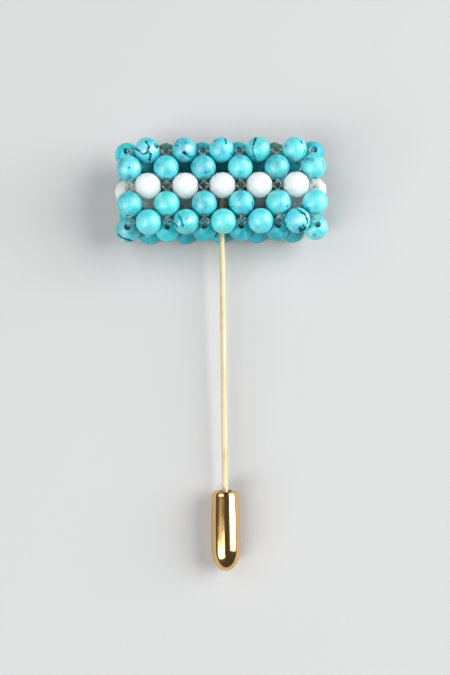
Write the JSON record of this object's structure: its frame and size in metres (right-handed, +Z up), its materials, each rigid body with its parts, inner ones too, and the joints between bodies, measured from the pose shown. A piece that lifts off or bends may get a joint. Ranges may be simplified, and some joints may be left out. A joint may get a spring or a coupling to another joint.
{
  "type": "stick pin",
  "caption": "Stick pin with a cockade: a small box woven from round turquoise, milky and clear beads on a straight gold-coloured pin with a bullet clutch.",
  "frame": {"origin": "on the surface that the pin lies on, below the middle of the whole piece", "axes": "+Z up through the front of the bead box, +Y from the pin's point to the box's top edge, +X to the right in front view"},
  "size_m": [0.0344, 0.0684, 0.0099],
  "materials": {
    "turquoise_stone": "polished dyed stone with dark veins",
    "milky_glass": "faceted, milky and slightly translucent",
    "clear_glass": "faceted and clear",
    "clear_thread": "clear monofilament",
    "gold_plate": "polished gold plating"
  },
  "bodies": {
    "brooch": {"rail_top_1": "turquoise_stone", "rail_top_2": "turquoise_stone", "rail_top_3": "turquoise_stone", "rail_top_4": "turquoise_stone", "rail_top_5": "turquoise_stone", "rail_bottom_1": "turquoise_stone", "rail_bottom_2": "turquoise_stone", "rail_bottom_3": "turquoise_stone", "rail_bottom_4": "turquoise_stone", "rail_bottom_5": "turquoise_stone", "post_upper_1": "turquoise_stone", "post_upper_2": "turquoise_stone", "post_upper_3": "turquoise_stone", "post_upper_4": "turquoise_stone", "post_upper_5": "turquoise_stone", "post_upper_6": "turquoise_stone", "post_lower_1": "turquoise_stone", "post_lower_2": "turquoise_stone", "post_lower_3": "turquoise_stone", "post_lower_4": "turquoise_stone", "post_lower_5": "turquoise_stone", "post_lower_6": "turquoise_stone", "white_front_1": "milky_glass", "white_front_2": "milky_glass", "white_front_3": "milky_glass", "white_front_4": "milky_glass", "white_front_5": "milky_glass", "white_back_1": "milky_glass", "white_back_2": "milky_glass", "white_back_3": "milky_glass", "white_back_4": "milky_glass", "white_back_5": "milky_glass", "white_left": "milky_glass", "white_right": "milky_glass", "crystal_top_2": "clear_glass", "crystal_top_5": "clear_glass", "crystal_middle_2": "clear_glass", "crystal_middle_3": "clear_glass", "crystal_middle_4": "clear_glass", "crystal_middle_5": "clear_glass", "tie_beads": "turquoise_stone", "back_beads": "turquoise_stone", "thread": "clear_thread", "pin": "gold_plate"},
    "clutch": {"clutch": "gold_plate"}
  },
  "joints": [
    {"name": "clutch_slide", "type": "slide", "parent": "brooch", "child": "clutch", "axis": [-0.0139, -0.9988, -0.0476], "range_m": [0, 0.016]}
  ]
}
